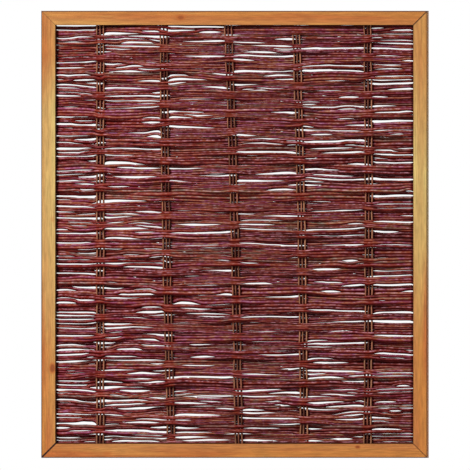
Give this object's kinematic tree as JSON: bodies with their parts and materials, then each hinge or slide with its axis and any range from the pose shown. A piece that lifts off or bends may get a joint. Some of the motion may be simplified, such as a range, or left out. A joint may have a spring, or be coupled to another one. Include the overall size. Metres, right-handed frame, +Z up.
{
  "type": "framed woven willow hurdle",
  "caption": "Flat fence panel: willow rods woven in front of and behind upright rods, held in the grooves of a mitred timber frame.",
  "frame": {"origin": "middle of the underside of the bottom rail, halfway through its depth", "axes": "+X to the right and +Z up as seen from the front, which faces -Y"},
  "size_m": [1.215, 0.045, 1.4],
  "materials": {
    "frame_timber": "stained, satin",
    "woven_willow": "bark, dull",
    "upright_willow": "bark, dull",
    "tongue_wood": "sawn"
  },
  "bodies": {
    "root": {"bottom_rail": "frame_timber", "top_rail": "frame_timber", "left_stile": "frame_timber", "right_stile": "frame_timber", "mitre_tongue_bottom_left": "tongue_wood", "mitre_tongue_bottom_right": "tongue_wood", "mitre_tongue_top_left": "tongue_wood", "mitre_tongue_top_right": "tongue_wood", "upright_1_1": "upright_willow", "upright_1_2": "upright_willow", "upright_1_3": "upright_willow", "upright_2_1": "upright_willow", "upright_2_2": "upright_willow", "upright_2_3": "upright_willow", "upright_3_1": "upright_willow", "upright_3_2": "upright_willow", "upright_3_3": "upright_willow", "upright_4_1": "upright_willow", "upright_4_2": "upright_willow", "upright_4_3": "upright_willow", "upright_5_1": "upright_willow", "upright_5_2": "upright_willow", "upright_5_3": "upright_willow", "willow_weave": "woven_willow"}
  },
  "joints": []
}
